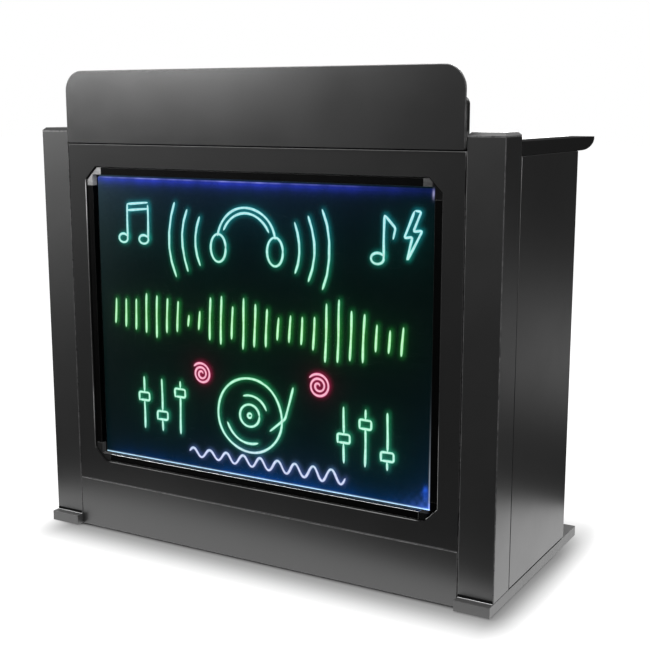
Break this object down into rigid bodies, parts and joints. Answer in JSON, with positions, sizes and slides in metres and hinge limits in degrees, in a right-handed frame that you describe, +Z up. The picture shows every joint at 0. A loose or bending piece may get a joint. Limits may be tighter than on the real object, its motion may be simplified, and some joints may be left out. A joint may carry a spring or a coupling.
{
  "type": "dj booth",
  "caption": "Free-standing black DJ booth: columns on floor bars, lit writing board in the front, raised shield, lift-off worktop and folding side panels.",
  "frame": {"origin": "on the floor under the middle of the booth's outline", "axes": "+X along the width to the right of someone facing the front, +Y from the front to the operator's side, +Z up"},
  "size_m": [1.2, 0.586, 1.1315],
  "materials": {
    "lacquer": "satin black lacquer on fibreboard",
    "worktop_laminate": "fine-textured black laminate",
    "timber": "black-stained softwood",
    "rail_aluminium": "black anodised",
    "corner_plastic": "satin grey",
    "acrylic": "polished clear acrylic",
    "backing": "smooth black",
    "strip": "white flexible circuit",
    "light": "glowing blue-white",
    "zinc_steel": "bright zinc",
    "hinge_steel": "dark nickel",
    "magnet": "nickel",
    "glide": "hard black plastic",
    "control_plastic": "fine-textured black",
    "circuit": "green solder mask",
    "button_plastic": "gloss grey",
    "socket_plastic": "gloss black",
    "eye_plastic": "dark red lens",
    "lead_rubber": "smooth black"
  },
  "bodies": {
    "booth": {"base_bar_left": "lacquer", "base_bar_right": "lacquer", "floor_glides": "glide", "column_left": "lacquer", "column_right": "lacquer", "column_cap_left": "lacquer", "column_cap_right": "lacquer", "column_foot_left": "timber", "column_foot_right": "timber", "column_screws": "zinc_steel", "front_frame": "lacquer", "kick_panel": "lacquer", "frame_batten_left": "timber", "frame_batten_right": "timber", "kick_rail": "timber", "worktop_ledger": "timber", "long_wood_screws": "zinc_steel", "short_wood_screws": "zinc_steel", "hinge_fixed_leaves": "hinge_steel", "hinge_fixed_screws": "zinc_steel", "hinge_pins": "zinc_steel", "catch_magnets": "magnet", "board_rail_top": "rail_aluminium", "board_rail_bottom": "rail_aluminium", "board_rail_left": "rail_aluminium", "board_rail_right": "rail_aluminium", "board_corner_caps": "corner_plastic", "writing_sheet": "acrylic", "backing_sheet": "backing", "led_strips": "strip", "led_chips": "light", "turn_button_screws": "zinc_steel", "control_box_base": "control_plastic", "control_box_cover": "control_plastic", "control_screws": "zinc_steel", "circuit_board": "circuit", "dc_socket": "socket_plastic", "infrared_eye": "eye_plastic", "led_lead": "lead_rubber"},
    "worktop": {"worktop": "worktop_laminate", "worktop_studs": "zinc_steel"},
    "shield": {"shield": "lacquer", "shield_backer": "lacquer", "shield_pins": "zinc_steel", "shield_screws": "zinc_steel"},
    "left_wing": {"side_panel_left": "lacquer", "hinge_swing_leaves_left": "hinge_steel", "hinge_swing_screws_left": "zinc_steel", "catch_plate_left": "zinc_steel"},
    "right_wing": {"side_panel_right": "lacquer", "hinge_swing_leaves_right": "hinge_steel", "hinge_swing_screws_right": "zinc_steel", "catch_plate_right": "zinc_steel"},
    "mode_button": {"mode_button": "button_plastic"},
    "turn_button_lower_left": {"turn_button_lower_left": "zinc_steel"},
    "turn_button_upper_left": {"turn_button_upper_left": "zinc_steel"},
    "turn_button_lower_right": {"turn_button_lower_right": "zinc_steel"},
    "turn_button_upper_right": {"turn_button_upper_right": "zinc_steel"}
  },
  "joints": [
    {"name": "worktop_lift", "type": "slide", "parent": "booth", "child": "worktop", "axis": [0, 0, 1], "range_m": [0, 0.25]},
    {"name": "shield_lift", "type": "slide", "parent": "booth", "child": "shield", "axis": [0, 0, 1], "range_m": [0, 0.12]},
    {"name": "left_wing_fold", "type": "hinge", "parent": "booth", "child": "left_wing", "pos_m": [-0.5775, -0.1805, 0.4898], "axis": [0, 0, -1], "range_deg": [0, 90]},
    {"name": "right_wing_fold", "type": "hinge", "parent": "booth", "child": "right_wing", "pos_m": [0.5775, -0.1805, 0.4898], "axis": [0, 0, 1], "range_deg": [0, 90]},
    {"name": "mode_button_press", "type": "slide", "parent": "booth", "child": "mode_button", "axis": [0, -1, 0], "range_m": [0, 0.0015], "stiffness_N_per_m": 400},
    {"name": "turn_lower_left", "type": "hinge", "parent": "booth", "child": "turn_button_lower_left", "pos_m": [-0.489, -0.2527, 0.3435], "axis": [0, -1, 0], "range_deg": [0, 90]},
    {"name": "turn_upper_left", "type": "hinge", "parent": "booth", "child": "turn_button_upper_left", "pos_m": [-0.489, -0.2527, 0.7435], "axis": [0, -1, 0], "range_deg": [0, 90]},
    {"name": "turn_lower_right", "type": "hinge", "parent": "booth", "child": "turn_button_lower_right", "pos_m": [0.489, -0.2527, 0.3435], "axis": [0, 1, 0], "range_deg": [0, 90]},
    {"name": "turn_upper_right", "type": "hinge", "parent": "booth", "child": "turn_button_upper_right", "pos_m": [0.489, -0.2527, 0.7435], "axis": [0, 1, 0], "range_deg": [0, 90]}
  ]
}
